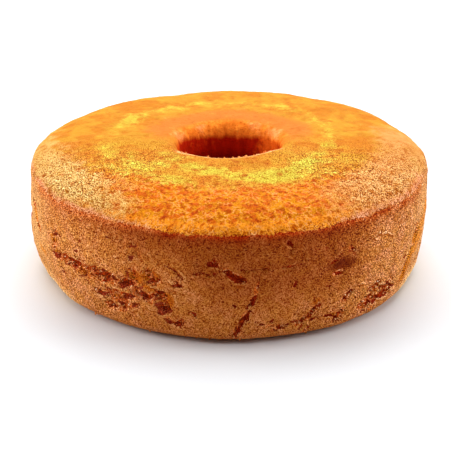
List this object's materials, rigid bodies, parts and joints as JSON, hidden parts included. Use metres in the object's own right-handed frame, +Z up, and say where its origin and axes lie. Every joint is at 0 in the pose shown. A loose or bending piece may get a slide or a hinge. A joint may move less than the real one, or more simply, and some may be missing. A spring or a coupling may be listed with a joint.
{
  "type": "cornmeal cake",
  "caption": "Whole uncut cornmeal cake from a ring tin, right side up: low golden dome with a paler lumpy ring, browned upright wall with torn patches, round hole through the middle",
  "frame": {"origin": "the point on the table under the middle of the hole, level with the flat sole", "axes": "+Z is up, along the hole's axis and out of the domed top; -Y is the side that the picture shows in front; +X is to its right"},
  "size_m": [0.2401, 0.2399, 0.0786],
  "materials": {
    "crust": "dull baked crust, golden on top and browner on the wall, with fine pores and crumbly torn patches"
  },
  "bodies": {
    "root": {"cake": "crust"}
  },
  "joints": []
}
